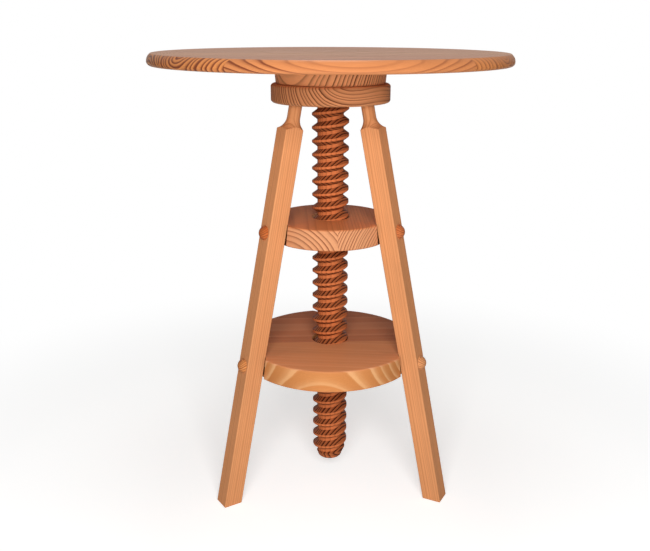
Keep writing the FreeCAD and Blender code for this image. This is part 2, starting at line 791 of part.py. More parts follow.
def make_shelf(shelf, height, diameter, thickness, edge):
    """A round shelf with a plain bore, let into the legs and bored for the pegs."""
    body = new_body(f"{shelf}_blank")
    outer = diameter / 2
    underside = height - thickness
    outline = [(shelf_bore, underside), (outer, underside), (outer, height), (shelf_bore, height)]
    turn_outline(body, f"{shelf}_disc", draw_outline(body, f"{shelf}_outline", "XZ_Plane", outline))
    rims = either(ring_at(outer, underside), ring_at(outer, height))
    ease_edges(body, f"{shelf}_edges", "PartDesign::Fillet", "Radius", dim.shelf_edge_round, rims)
    tools = []
    for side, azimuth in LEGS:
        seat = part_box(
            f"{shelf}_seat_{side}",
            dim.leg_width * 2,
            dim.leg_width + dim.glue_gap * 2,
            thickness * 2 + dim.leg_width * 2,
        )
        place_on_leg(
            seat,
            azimuth,
            -half_leg - dim.glue_gap,
            edge.along - thickness - dim.leg_width,
            -half_leg - dim.glue_gap,
        )
        depth = dim.peg_depth + dim.glue_gap + dim.spare
        bore = part_cylinder(f"{shelf}_bore_{side}", dim.peg_shank_diameter / 2 + dim.glue_gap, depth)
        place_on_leg(bore, azimuth, edge.across + dim.spare, edge.along, turn=-QUARTER_TURN)
        tools += [seat, bore]
    return part_cut(f"{shelf}_fitted", body, tools)


def make_mid_shelf():
    """The small shelf, from two boards side by side."""
    height = dim.mid_shelf_height
    thickness = dim.mid_shelf_thickness
    fitted = make_shelf("mid_shelf", height, dim.mid_shelf_diameter, thickness, mid_edge)
    outside = dim.mid_shelf_diameter / 2 + dim.spare
    strips = (
        ("left", -outside, outside + dim.mid_shelf_joint),
        ("right", dim.mid_shelf_joint, outside - dim.mid_shelf_joint),
    )
    boards = []
    for side, start, width in strips:
        box = part_box(f"mid_shelf_strip_{side}", width, outside * 2, thickness + dim.spare * 2)
        place(box, start, -outside, height - thickness - dim.spare)
        boards.append(part_common(f"mid_shelf_{side}_board", fitted, box))
    return boards


def make_lower_shelf():
    """The large shelf, from two boards one behind the other."""
    height = dim.lower_shelf_height
    thickness = dim.lower_shelf_thickness
    fitted = make_shelf("lower_shelf", height, dim.lower_shelf_diameter, thickness, lower_edge)
    outside = dim.lower_shelf_diameter / 2 + dim.spare
    strips = (
        ("front", -outside, outside - dim.lower_shelf_joint),
        ("rear", -dim.lower_shelf_joint, outside + dim.lower_shelf_joint),
    )
    boards = []
    for side, start, width in strips:
        box = part_box(f"lower_shelf_strip_{side}", outside * 2, width, thickness + dim.spare * 2)
        place(box, -outside, start, height - thickness - dim.spare)
        boards.append(part_common(f"lower_shelf_{side}_board", fitted, box))
    return boards


def check_pieces(pieces):
    """Stop on a failed object or a bad shape."""
    for item in doc.Objects:
        if "Invalid" in item.State or "Error" in item.State:
            raise RuntimeError(f"{item.Name} failed: {item.State}")
    for piece in pieces:
        shape = piece.Shape
        if shape.isNull() or not shape.isValid() or not shape.Solids:
            raise RuntimeError(f"{piece.Label} has no valid solid")


def write_pieces(pieces):
    """Write one file for each piece."""
    os.makedirs("parts", exist_ok=True)
    for piece in pieces:
        piece.Shape.exportStep(f"parts/{piece.Label}.step")


def build():
    """Model every piece, check the document and write the files."""
    pieces = [make_spindle(), make_collar(), make_hub(), make_hub_screws(), make_lag_screw(), make_washer()]
    pieces += make_top_boards()
    pieces += make_mid_shelf()
    pieces += make_lower_shelf()
    for side, azimuth in LEGS:
        pieces.append(make_leg(side, azimuth))
        pieces.append(make_peg(f"mid_peg_{side}", azimuth, mid_edge))
        pieces.append(make_peg(f"lower_peg_{side}", azimuth, lower_edge))
    doc.recompute()
    check_pieces(pieces)
    write_pieces(pieces)
    for piece in pieces:
        print(f"{piece.Label}: {len(piece.Shape.Solids)} solid(s), {piece.Shape.Volume / 1000:.1f} cm3")


build()
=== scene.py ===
import json
import math

import bmesh
import bpy
from bpy.props import FloatProperty, FloatVectorProperty, PointerProperty
from mathutils import Matrix, Vector


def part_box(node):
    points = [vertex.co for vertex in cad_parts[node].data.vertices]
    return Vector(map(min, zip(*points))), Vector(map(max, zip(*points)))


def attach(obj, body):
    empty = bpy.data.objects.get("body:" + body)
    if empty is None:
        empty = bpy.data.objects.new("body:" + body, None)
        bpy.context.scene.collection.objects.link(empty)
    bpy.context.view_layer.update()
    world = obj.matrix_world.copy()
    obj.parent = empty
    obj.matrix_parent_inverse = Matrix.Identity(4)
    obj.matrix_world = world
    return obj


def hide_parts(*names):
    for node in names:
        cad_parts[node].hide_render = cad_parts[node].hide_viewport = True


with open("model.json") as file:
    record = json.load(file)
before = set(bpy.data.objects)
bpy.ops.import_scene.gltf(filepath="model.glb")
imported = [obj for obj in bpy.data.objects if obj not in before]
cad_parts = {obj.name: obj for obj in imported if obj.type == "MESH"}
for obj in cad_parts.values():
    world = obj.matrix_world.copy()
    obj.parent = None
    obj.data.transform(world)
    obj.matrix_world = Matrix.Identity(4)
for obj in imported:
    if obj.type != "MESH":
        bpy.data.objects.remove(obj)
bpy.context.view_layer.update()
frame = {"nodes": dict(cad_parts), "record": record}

bl_info = {
    "name": "Swivel table finish",
    "version": (1, 0, 0),
    "blender": (4, 5, 0),
    "location": "View3D > Sidebar > Table",
    "description": "Oiled softwood grain, stage and camera for the swivel table",
    "category": "Object",
}

TOP_BOARD_COUNT = 6
TOP_BOARDS = tuple(f"top_board_{number}" for number in range(1, TOP_BOARD_COUNT + 1))
SIDES = ("left", "right", "rear")
UP = Vector((0, 0, 1))
TO_RIGHT = (1, 0, 0)
TO_LEFT = (-1, 0, 0)
TO_REAR = (0, 1, 0)
TO_FRONT = (0, -1, 0)
WHITE = (1.0, 1.0, 1.0)


# Kinds of setting

def wood_colour(name, rgb):
    """A colour, or a tint that multiplies one."""
    return FloatVectorProperty(
        name=name,
        description=f"{name} colour, linear",
        subtype="COLOR",
        min=0.0,
        soft_max=1.0,
        default=rgb,
    )


def length(name, metres, description):
    """A length of the grain, the shelves or the stage."""
    return FloatProperty(
        name=name,
        description=description,
        default=metres,
        unit="LENGTH",
        precision=4,
    )


def share(name, value, description):
    """A strength, nought or more."""
    return FloatProperty(name=name, description=description, default=value, min=0.0, soft_max=1.0)


def turn(name, degrees, description):
    """An angle, kept in radians."""
    return FloatProperty(
        name=name,
        description=description,
        default=math.radians(degrees),
        subtype="ANGLE",
    )


def power(name, watts, description):
    """Power of a lamp."""
    return FloatProperty(name=name, description=description, default=watts, unit="POWER")


def ring_spacing(metres):
    """Width of the growth rings."""
    return length("Ring spacing", metres, "Width of a growth ring")


def ring_contrast(value):
    """Strength of the rings on end grain."""
    return share("Ring contrast", value, "How strongly the latewood shows on end grain")


def long_grain_contrast(value):
    """Strength of the rings on long grain."""
    return share("Long grain contrast", value, "Share of the ring contrast left on long grain")


def rim_contrast(value):
    """Strength of the rings on upright faces."""
    return share("Edge contrast", value, "Least share of the ring contrast on the rim")


def end_grain_shade(value):
    """Darkening of sawn ends."""
    return share("End grain shade", value, "Darkening of end grain")


def oil_sheen(value):
    """Reflection of the oiled surface."""
    return share("Sheen", value, "Strength of the oil's reflection")


def ring_wander(metres):
    """Unevenness of the growth rings."""
    return length("Wander", metres, "How far the rings stray from true circles")


# Settings of each wooden piece, of the shelves' sizes and of the stage

class TopGrain(bpy.types.PropertyGroup):
    """Grain of the tabletop's glued boards."""

    early: wood_colour("Earlywood", (0.67, 0.215, 0.062))
    late: wood_colour("Latewood", (0.20, 0.05, 0.018))
    spacing: ring_spacing(0.0066)
    contrast: ring_contrast(2.2)
    plain_contrast: long_grain_contrast(0.07)
    edge: rim_contrast(0.3)
    end_shade: end_grain_shade(0.0)
    level_light_tint: wood_colour("Level faces' tint", WHITE)
    sheen: oil_sheen(0.45)
    roughness: share("Roughness", 0.2, "Roughness of the polished upper face")
    wander: ring_wander(0.014)
    drift: FloatProperty(
        name="Drift",
        description="Change of the ring contrast along a metre of trunk",
        default=-2.2,
    )
    trunk_turn: turn("Trunk turn", 4.2, "Turn of the boards' length from left to right")


class HubGrain(bpy.types.PropertyGroup):
    """Grain of the disc under the top."""

    early: wood_colour("Earlywood", (0.86, 0.365, 0.155))
    late: wood_colour("Latewood", (0.14, 0.04, 0.016))
    spacing: ring_spacing(0.0054)
    contrast: ring_contrast(1.3)
    plain_contrast: long_grain_contrast(0.4)
    end_shade: end_grain_shade(0.03)
    level_light_tint: wood_colour("Level faces' tint", WHITE)
    sheen: oil_sheen(0.25)
    wander: ring_wander(0.012)
    trunk_turn: turn("Trunk turn", -47, "Turn of the trunk from left to right")
    pith_along: length("Pith to the side", 0.105, "Pith beside the middle, square to the trunk")
    pith_rise: length("Pith height", -0.035, "Pith above the hub's middle")


class CollarGrain(bpy.types.PropertyGroup):
    """Grain of the threaded collar."""

    early: wood_colour("Earlywood", (0.67, 0.275, 0.115))
    late: wood_colour("Latewood", (0.13, 0.035, 0.015))
    spacing: ring_spacing(0.005)
    contrast: ring_contrast(1.3)
    plain_contrast: long_grain_contrast(0.4)
    end_shade: end_grain_shade(0.1)
    level_light_tint: wood_colour("Level faces' tint", WHITE)
    sheen: oil_sheen(0.25)
    wander: ring_wander(0.012)
    trunk_turn: turn("Trunk turn", 50, "Turn of the trunk from left to right")
    pith_along: length("Pith to the side", -0.085, "Pith beside the middle, square to the trunk")
    pith_rise: length("Pith height", 0.034, "Pith above the collar's middle")


class MidShelfGrain(bpy.types.PropertyGroup):
    """Grain of the small shelf."""

    early: wood_colour("Earlywood", (0.72, 0.33, 0.16))
    late: wood_colour("Latewood", (0.24, 0.07, 0.033))
    contrast: ring_contrast(1.15)
    plain_contrast: long_grain_contrast(0.25)
    end_shade: end_grain_shade(0.0)
    # Painted shade: the level faces' tint darkens and reddens the small shelf's top and underside
    level_light_tint: wood_colour("Level faces' tint", (0.95, 0.74, 0.58))
    sheen: oil_sheen(0.04)
    wander: ring_wander(0.012)
    left_spacing: length("Left board's rings", 0.0085, "Ring width in the left board")
    right_spacing: length("Right board's rings", 0.0047, "Ring width in the right board")


class LowerShelfGrain(bpy.types.PropertyGroup):
    """Grain of the large shelf, whose latewood is the paler part."""

    early: wood_colour("Earlywood", (0.61, 0.235, 0.074))
    # Painted shade: the rear board's earlywood is darker than the front's, for the shade towards the back
    # of the shelf
    rear_shaded_early: wood_colour("Rear board's earlywood", (0.51, 0.168, 0.055))
    late: wood_colour("Latewood", (0.78, 0.41, 0.18))
    contrast: ring_contrast(1.8)
    plain_contrast: long_grain_contrast(0.07)
    edge: rim_contrast(0.6)
    end_shade: end_grain_shade(0.23)
    # Painted reflection: the level faces' tint pales and blues the large shelf's top and underside
    level_light_tint: wood_colour("Level faces' tint", (1.17, 1.2, 1.6))
    sheen: oil_sheen(0.04)
    wander: ring_wander(0.014)
    front_spacing: length("Front board's rings", 0.013, "Ring width in the front board")
    rear_spacing: length("Rear board's rings", 0.009, "Ring width in the rear board")
    front_turn: turn("Front board's turn", -8, "Turn of the front board's trunk from left to right")


class LegGrain(bpy.types.PropertyGroup):
    """Grain of the legs."""

    early: wood_colour("Earlywood", (0.72, 0.31, 0.13))
    late: wood_colour("Latewood", (0.42, 0.14, 0.045))
    spacing: ring_spacing(0.0034)
    contrast: ring_contrast(0.9)
    plain_contrast: long_grain_contrast(0.6)
    end_shade: end_grain_shade(0.1)
    level_light_tint: wood_colour("Level faces' tint", WHITE)
    sheen: oil_sheen(0.25)
    wander: ring_wander(0.012)


class SpindleGrain(bpy.types.PropertyGroup):
    """Grain of the wooden screw."""

    early: wood_colour("Earlywood", (0.57, 0.158, 0.053))
    late: wood_colour("Latewood", (0.08, 0.017, 0.007))
    spacing: ring_spacing(0.006)
    contrast: ring_contrast(2.6)
    plain_contrast: long_grain_contrast(0.12)
    end_shade: end_grain_shade(0.40)
    level_light_tint: wood_colour("Level faces' tint", WHITE)
    sheen: oil_sheen(0.1)
    wander: ring_wander(0.006)


class PegGrain(bpy.types.PropertyGroup):
    """Grain of the pegs."""

    early: wood_colour("Earlywood", (0.68, 0.27, 0.09))
    mid_early: wood_colour("Upper pegs' earlywood", (0.54, 0.14, 0.036))
    late: wood_colour("Latewood", (0.22, 0.055, 0.02))
    spacing: ring_spacing(0.0028)
    contrast: ring_contrast(1.3)
    plain_contrast: long_grain_contrast(0.6)
    end_shade: end_grain_shade(0.0)
    level_light_tint: wood_colour("Level faces' tint", WHITE)
    sheen: oil_sheen(0.25)
    wander: ring_wander(0.004)


class ShelfSizes(bpy.types.PropertyGroup):
    """Sizes of the shelves' boards that their boxes don't give."""

    bore: length("Bore radius", 0.03295, "Plain bore round the screw")
    edge_round: length("Edge round", 0.003, "Round on the upper and lower rims")
    leg_width: length("Leg width", 0.033, "Square section of the legs")
    leg_gap: length("Leg gap", 0.0001, "Between a leg and the upper edge of its seat in a shelf")
    seat_lean: share("Seat lean", 0.6, "Share of a leg's lean that its seat follows")
    # Near-black colour of the seats and peg bores: painted shade in the gaps round the legs and pegs
    seat_shade_colour: wood_colour("Seat", (0.06, 0.018, 0.008))
    seat_splay: share("Seat splay", 1.525, "Widening of a leg's seat on each side for its depth")
    peg_bore: length("Peg bore radius", 0.0071, "Hole for a peg's shank")
    peg_depth: length("Peg bore depth", 0.0302, "Depth of a peg's hole from the round rim")


class StageSettings(bpy.types.PropertyGroup):
    """Floor, light and camera."""

    floor_colour: wood_colour("Floor", (0.80, 0.80, 0.79))
    floor_lift: share("Floor lift", 0.54, "Lightening of the floor where it is seen directly")
    key_power: power("Key light", 30.5, "Power of the front light")
    top_power: power("Top light", 8.0, "Power of the light overhead")
    back_power: power("Back lights", 2.0, "Power of each back light")
    ambient: share("Ambient", 0.055, "Even light from all round")
    reflection: share("Reflection", 0.45, "Brightness of the surroundings in the wood's sheen")
    camera_distance: length("Camera distance", 1.39756, "From the screw's axis, along the floor")
    camera_height: length("Camera height", 0.8274, "Camera above the floor")
    camera_turn: turn("Camera turn", 2.83, "Camera to the left of the table's front")
    camera_pitch: turn("Camera pitch", 17.34, "Camera down from level")
    camera_roll: turn("Camera roll", 0.166, "Camera about its own axis")
    focal_length: FloatProperty(
        name="Focal length",
        description="Lens for a 36 mm sensor",
        default=45.096,
    )
    shift: FloatProperty(name="Shift", description="Sideways lens shift", default=-0.00788)


class TableLooks(bpy.types.PropertyGroup):
    """All settings of the table's looks."""

    top: PointerProperty(type=TopGrain)
    hub: PointerProperty(type=HubGrain)
    collar: PointerProperty(type=CollarGrain)
    mid_shelf: PointerProperty(type=MidShelfGrain)
    lower_shelf: PointerProperty(type=LowerShelfGrain)
    leg: PointerProperty(type=LegGrain)
    spindle: PointerProperty(type=SpindleGrain)
    peg: PointerProperty(type=PegGrain)
    shelf: PointerProperty(type=ShelfSizes)
    stage: PointerProperty(type=StageSettings)


# Node trees

# Sockets of a mix node that mixes colours
MIX_FACTOR = 0
MIX_FIRST = 6
MIX_SECOND = 7
MIX_RESULT = 2


class Wiring:
    """Adds nodes to a tree and joins them."""

    def __init__(self, tree):
        self.tree = tree

    def node(self, kind, inputs=None, **settings):
        """Add a node, set it up, and link or fill its inputs."""
        made = self.tree.nodes.new(kind)
        for name, value in settings.items():
            setattr(made, name, value)
        for name, value in (inputs or {}).items():
            if isinstance(value, bpy.types.NodeSocket):
                self.tree.links.new(value, made.inputs[name])
            else:
                made.inputs[name].default_value = value
        return made

    def math(self, operation, first, second=0.0, third=0.0):
        """One sum on numbers."""
        inputs = {0: first, 1: second, 2: third}
        return self.node("ShaderNodeMath", inputs, operation=operation).outputs[0]

    def line(self, value, slope, start):
        """A number times a slope, on top of a start."""
        return self.math("MULTIPLY_ADD", value, slope, start)

    def vector(self, operation, first, second=(0.0, 0.0, 0.0)):
        """One sum on vectors."""
        inputs = {0: first, 1: second}
        return self.node("ShaderNodeVectorMath", inputs, operation=operation).outputs[0]

    def scale(self, vector, factor):
        """A vector times a number."""
        inputs = {0: vector, "Scale": factor}
        return self.node("ShaderNodeVectorMath", inputs, operation="SCALE").outputs[0]

    def size(self, vector):
        """Length of a vector."""
        return self.node("ShaderNodeVectorMath", {0: vector}, operation="LENGTH").outputs["Value"]

    def height(self, vector):
        """Third part of a vector."""
        return self.node("ShaderNodeSeparateXYZ", {0: vector}).outputs["Z"]

    def mix(self, factor, first, second, blend="MIX"):
        """Mix two colours."""
        inputs = {MIX_FACTOR: factor, MIX_FIRST: first, MIX_SECOND: second}
        made = self.node("ShaderNodeMix", inputs, data_type="RGBA", blend_type=blend)
        return made.outputs[MIX_RESULT]

    def ramp(self, value, stops):
        """A number drawn through a curve of (place, height) stops."""
        made = self.node("ShaderNodeValToRGB", {"Fac": value})
        elements = made.color_ramp.elements
        while len(elements) < len(stops):
            elements.new(1.0)
        for element, (spot, height) in zip(elements, stops):
            element.position = spot
            element.color = (height, height, height, 1.0)
        return made.outputs["Color"]

    def noise(self, vector, scale, detail, roughness=0.5):
        """Smooth noise in space."""
        inputs = {"Vector": vector, "Scale": scale, "Detail": detail, "Roughness": roughness}
        return self.node("ShaderNodeTexNoise", inputs)


def empty_material(name):
    """A new material and the wiring of its empty tree."""
    material = bpy.data.materials.new(name)
    material.use_nodes = True
    material.node_tree.nodes.clear()
    return material, Wiring(material.node_tree)


# Growth rings of a trunk

GROUP_INPUTS = (("Vector", "Vector"), ("Spacing", "Float"), ("Wander", "Float"), ("Seed", "Float"))
GROUP_OUTPUTS = (("Late", "Float"), ("Tone", "Float"), ("Fibre", "Float"))
# Streaks per metre across, across and along the trunk, with their detail and roughness
COARSE_STREAKS = ((9.0, 9.0, 1.0), 1.0, 0.5)
FINE_STREAKS = ((70.0, 70.0, 5.0), 2.0, 0.5)
FIBRE_STREAKS = ((1100.0, 1100.0, 16.0), 3.0, 0.6)
MIDDLE_OF_NOISE = (0.5, 0.5, 0.5)
ACROSS_TRUNK = (1.0, 1.0, 0.0)
# How far the fine streaks bend a ring, in metres
FINE_WANDER = 0.0016
# Wide and narrow years: the step of the noise from ring to ring, and how far it shifts the rings
YEAR_STEP = 0.37
YEAR_VARIATION = 1.1
# Strength of the latewood from ring to ring
LATEWOOD_LEAST = 0.55
LATEWOOD_SPREAD = 0.45
# Latewood across one ring, as (place, strength), from the spring wood to the ring's sharp outer edge
RING_PROFILE = (
    (0.0, 0.22),
    (0.06, 0.0),
    (0.42, 0.07),
    (0.70, 0.42),
    (0.84, 0.95),
    (0.95, 1.0),
    (1.0, 0.24),
)


def growth_ring_group():
    """Growth rings about the Z axis of a trunk: latewood, a tone for each ring, and fibres."""
    name = "growth_rings"
    if name in bpy.data.node_groups:
        return bpy.data.node_groups[name]
    tree = bpy.data.node_groups.new(name, "ShaderNodeTree")
    for socket, kind in GROUP_INPUTS:
        tree.interface.new_socket(socket, in_out="INPUT", socket_type=f"NodeSocket{kind}")
    for socket, kind in GROUP_OUTPUTS:
        tree.interface.new_socket(socket, in_out="OUTPUT", socket_type=f"NodeSocket{kind}")
    wires = Wiring(tree)
    given = wires.node("NodeGroupInput").outputs
    seed = given["Seed"]
    apart = wires.node("ShaderNodeCombineXYZ", {0: seed, 1: seed, 2: seed}).outputs[0]

    def streaks(stretch, detail, roughness):
        """Noise that is drawn out along the trunk."""
        spot = wires.vector("ADD", wires.vector("MULTIPLY", given["Vector"], stretch), apart)
        return wires.noise(spot, 1.0, detail, roughness).outputs

    coarse = wires.vector("SUBTRACT", streaks(*COARSE_STREAKS)["Color"], MIDDLE_OF_NOISE)
    fine = wires.vector("SUBTRACT", streaks(*FINE_STREAKS)["Color"], MIDDLE_OF_NOISE)
    bent = wires.vector("ADD", given["Vector"], wires.scale(coarse, given["Wander"]))
    bent = wires.vector("ADD", bent, wires.scale(fine, FINE_WANDER))
    radius = wires.size(wires.vector("MULTIPLY", bent, ACROSS_TRUNK))
    rings = wires.math("DIVIDE", radius, given["Spacing"])
    years = wires.node(
        "ShaderNodeTexNoise",
        {"W": wires.line(rings, YEAR_STEP, seed), "Scale": 1.0, "Detail": 1.0},
        noise_dimensions="1D",
    ).outputs["Fac"]
    phase = wires.line(years, YEAR_VARIATION, rings)
    number = wires.math("ADD", wires.math("FLOOR", phase), seed)
    tone = wires.node("ShaderNodeTexWhiteNoise", {"W": number}, noise_dimensions="1D").outputs["Value"]
    profile = wires.ramp(wires.math("FRACT", phase), RING_PROFILE)
    late = wires.math("MULTIPLY", profile, wires.line(tone, LATEWOOD_SPREAD, LATEWOOD_LEAST))
    fibre = streaks(*FIBRE_STREAKS)["Fac"]
    wires.node("NodeGroupOutput", {"Late": late, "Tone": tone, "Fibre": fibre})
    return tree


# Places and directions on the table

# Legs' axes from the screw's axis, at the collar's underside
LEG_TOP_RADIUS = 0.071


def leg_line(side):
    """Foot of a leg on the floor, the direction up its axis, and the level direction outwards."""
    mounts = {mount["name"]: mount for mount in frame["record"]["mounts"]}
    foot = Vector(mounts[f"foot_{side}"]["pos_m"])
    top = foot.normalized() * LEG_TOP_RADIUS
    top.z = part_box("threaded_collar")[0].z
    outward = Vector((foot.x, foot.y, 0)).normalized()
    return foot, (top - foot).normalized(), outward


def middle(node):
    """Middle of a piece's box."""
    low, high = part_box(node)
    return (low + high) / 2


def level(angle):
    """Level direction at an angle from left to right."""
    return Vector((math.cos(angle), math.sin(angle), 0))


def square_to(direction):
    """Level direction a quarter turn to the left of another."""
    return Vector((-direction.y, direction.x, 0))


def turn_to(direction):
    """Turn that lays an upright length along a direction."""
    return UP.rotation_difference(Vector(direction)).to_euler("XYZ")


# Finishes

# Brightness of the wood: least, and how much more the slow tone, the ring and the fibre add
SLOW_TONE_SCALE = 6.0
SLOW_TONE_DETAIL = 2.0
SLOW_TONE_LEAST = 0.85
SLOW_TONE_SPREAD = 0.30
RING_TONE_LEAST = 0.95
RING_TONE_SPREAD = 0.10
FIBRE_TONE_LEAST = 0.87
FIBRE_TONE_SPREAD = 0.26
# Roughness of level oiled faces, what upright faces have more, and what the fibres add
OILED_ROUGHNESS = 0.36
UPRIGHT_DULLNESS = 0.3
FIBRE_DULLNESS = 0.16
# Relief of the fibres against the latewood's, with its strength and its depth in metres
FIBRE_RELIEF = 0.5
RELIEF_STRENGTH = 0.22
RELIEF_DEPTH = 0.0004


def toned(colour, tone):
    """A colour whose red, green and blue are each multiplied."""
    return tuple(part * factor for part, factor in zip(colour, tone))


def wood_brightness(wires, grain, spot, rings, end_grain):
    """Brightness of the wood from its slow tone, its rings, its fibres and its sawn ends."""
    slow = wires.noise(spot, SLOW_TONE_SCALE, SLOW_TONE_DETAIL).outputs["Fac"]
    brightness = wires.line(slow, SLOW_TONE_SPREAD, SLOW_TONE_LEAST)
    for value, spread, least in (
        (rings["Tone"], RING_TONE_SPREAD, RING_TONE_LEAST),
        (rings["Fibre"], FIBRE_TONE_SPREAD, FIBRE_TONE_LEAST),
        (end_grain, -grain.end_shade, 1.0),
    ):
        brightness = wires.math("MULTIPLY", brightness, wires.line(value, spread, least))
    return brightness


def wood(
    name,
    grain,
    pith,
    trunk,
    seed,
    spacing=None,
    early=None,
    drift=0.0,
    rough=OILED_ROUGHNESS,
    edge=0.0,
):
    """Oiled softwood cut from a trunk: its pith passes a point and runs along a direction."""
    material, wires = empty_material(name)
    trunk = Vector(trunk).normalized()
    where = wires.node("ShaderNodeTexCoord").outputs
    spot = wires.node(
        "ShaderNodeMapping",
        {"Vector": where["Object"], "Location": pith, "Rotation": turn_to(trunk)},
        vector_type="TEXTURE",
    ).outputs[0]
    rings = wires.node(
        "ShaderNodeGroup",
        {"Vector": spot, "Spacing": spacing or grain.spacing, "Wander": grain.wander, "Seed": seed},
        node_tree=growth_ring_group(),
    ).outputs
    facing = wires.node(
        "ShaderNodeVectorMath",
        {0: where["Normal"], 1: trunk},
        operation="DOT_PRODUCT",
    ).outputs["Value"]
    end_grain = wires.math("ABSOLUTE", facing)
    level_face = wires.math("ABSOLUTE", wires.height(where["Normal"]))

    sawn = wires.math("MAXIMUM", end_grain, wires.line(level_face, -edge, edge))
    plain = grain.contrast * grain.plain_contrast
    contrast = wires.line(sawn, grain.contrast - plain, plain)
    if drift:
        contrast = wires.math("MULTIPLY", contrast, wires.line(wires.height(spot), drift, 1.0))
    latewood = wires.math("MULTIPLY", rings["Late"], contrast)
    colour = wires.mix(latewood, (*(early or grain.early), 1.0), (*grain.late, 1.0))
    # Painted shade and reflection: level faces get their own tint for how the light falls on them
    tint = wires.mix(level_face, (*WHITE, 1.0), (*grain.level_light_tint, 1.0))
    brightness = wood_brightness(wires, grain, spot, rings, end_grain)
    colour = wires.mix(1.0, colour, wires.scale(tint, brightness), "MULTIPLY")

    dull = wires.line(level_face, -UPRIGHT_DULLNESS, rough + UPRIGHT_DULLNESS)
    roughness = wires.line(rings["Fibre"], FIBRE_DULLNESS, dull)
    relief = wires.line(rings["Fibre"], FIBRE_RELIEF, rings["Late"])
    bump = wires.node(
        "ShaderNodeBump",
        {"Strength": RELIEF_STRENGTH, "Distance": RELIEF_DEPTH, "Height": relief},
    ).outputs[0]
    shader = wires.node(
        "ShaderNodeBsdfPrincipled",
        {
            "Base Color": colour,
            "Roughness": roughness,
            "Normal": bump,
            "Specular IOR Level": grain.sheen,
        },
    )
    wires.node("ShaderNodeOutputMaterial", {"Surface": shader.outputs[0]})
    return material


# Zinc crystals per metre, their detail, and the colours and roughness between which they vary
SPANGLE_SCALE = 900.0
SPANGLE_DETAIL = 3.0
ZINC_DARK = (0.52, 0.50, 0.44, 1.0)
ZINC_PALE = (0.68, 0.67, 0.62, 1.0)
ZINC_LEAST_ROUGHNESS = 0.25
ZINC_ROUGHNESS_SPREAD = 0.25


def zinc_steel():
    """Dull plated steel of the hidden screws."""
    material, wires = empty_material("zinc_plated_steel")
    where = wires.node("ShaderNodeTexCoord").outputs["Object"]
    spangle = wires.noise(where, SPANGLE_SCALE, SPANGLE_DETAIL).outputs["Fac"]
    shader = wires.node(
        "ShaderNodeBsdfPrincipled",
        {
            "Base Color": wires.mix(spangle, ZINC_DARK, ZINC_PALE),
            "Roughness": wires.line(spangle, ZINC_ROUGHNESS_SPREAD, ZINC_LEAST_ROUGHNESS),
            "Metallic": 1.0,
        },
    )
    wires.node("ShaderNodeOutputMaterial", {"Surface": shader.outputs[0]})
    return material


def dress(node, material):
    """Give a piece its finish."""
    mesh = frame["nodes"][node].data
    mesh.materials.clear()
    mesh.materials.append(material)


# Shelf boards, each one side of a round disc that is cut in where it meets a leg

RIM_POINTS = 240
ROUND_STEPS = 5
BORE_POINTS = 48
SAME_PLACE = 1e-5
SMOOTH_BELOW = math.radians(35)
# Height of the block that cuts a seat, and how far it reaches past the rim, in metres
SEAT_HEIGHT = 0.2
SEAT_SPARE = 0.01


def round_disc(name, radius, low, high, sizes):
    """A round disc with a plain bore and rounded rims, left in edit mode."""
    bpy.ops.object.select_all(action="DESELECT")
    bpy.ops.mesh.primitive_circle_add(vertices=RIM_POINTS, radius=radius)
    disc = bpy.context.active_object
    disc.name = name
    bpy.ops.object.mode_set(mode="EDIT")
    bpy.ops.mesh.primitive_circle_add(vertices=RIM_POINTS, radius=sizes.bore)
    bpy.ops.mesh.select_all(action="SELECT")
    bpy.ops.mesh.bridge_edge_loops()
    bpy.ops.mesh.select_all(action="SELECT")
    bpy.ops.transform.translate(value=(0, 0, low))
    bpy.ops.mesh.extrude_region_move(TRANSFORM_OT_translate={"value": (0, 0, high - low)})
    bpy.ops.mesh.select_all(action="SELECT")
    bpy.ops.mesh.normals_make_consistent(inside=False)
    bpy.ops.mesh.select_mode(type="EDGE")
    bpy.ops.mesh.select_all(action="DESELECT")
    shape = bmesh.from_edit_mesh(disc.data)
    for edge in shape.edges:
        start, end = (vert.co for vert in edge.verts)
        level_edge = abs(start.z - end.z) < SAME_PLACE
        on_rim = min(start.xy.length, end.xy.length) > radius - SAME_PLACE
        edge.select_set(level_edge and on_rim)
    bmesh.update_edit_mesh(disc.data)
    bpy.ops.mesh.bevel(
        offset=sizes.edge_round,
        offset_type="OFFSET",
        segments=ROUND_STEPS,
        affect="EDGES",
    )
    return disc


def carve(board, tool):
    """Cut a tool's shape out of a board and take the tool away."""
    cut = board.modifiers.new("cut", "BOOLEAN")
    cut.operation = "DIFFERENCE"
    cut.material_mode = "TRANSFER"
    cut.object = tool
    bpy.context.view_layer.objects.active = board
    bpy.ops.object.modifier_apply(modifier=cut.name)
    bpy.data.objects.remove(tool, do_unlink=True)


def cut_seat(board, touching, outward, lean, radius, material):
    """Cut a leaning seat for a leg, splayed towards the rim, with a face coloured dark as painted shade.
    """
    sizes = bpy.context.scene.table_looks.shelf
    reach = radius + SEAT_SPARE - touching.dot(outward)
    width = sizes.leg_width + sizes.leg_gap * 2
    square_to_seat = outward * math.cos(lean) + UP * math.sin(lean)
    middle_of_seat = touching + square_to_seat * (reach / 2 - sizes.leg_gap)
    bpy.ops.object.select_all(action="DESELECT")
    bpy.ops.mesh.primitive_cube_add(
        size=1,
        location=middle_of_seat,
        rotation=(0, -lean, math.atan2(outward.y, outward.x)),
        scale=(reach, width, SEAT_HEIGHT),
    )
    tool = bpy.context.active_object
    tool.data.materials.append(material)
    bpy.ops.object.mode_set(mode="EDIT")
    bpy.ops.mesh.select_mode(type="VERT")
    bpy.ops.mesh.select_all(action="DESELECT")
    shape = bmesh.from_edit_mesh(tool.data)
    for vert in shape.verts:
        vert.select_set(vert.co.x > 0)
    bmesh.update_edit_mesh(tool.data)
    splay = 1 + 2 * reach * sizes.seat_splay / width
    bpy.ops.transform.resize(value=(1, splay, 1), orient_type="LOCAL")
    bpy.ops.object.mode_set(mode="OBJECT")
    carve(board, tool)


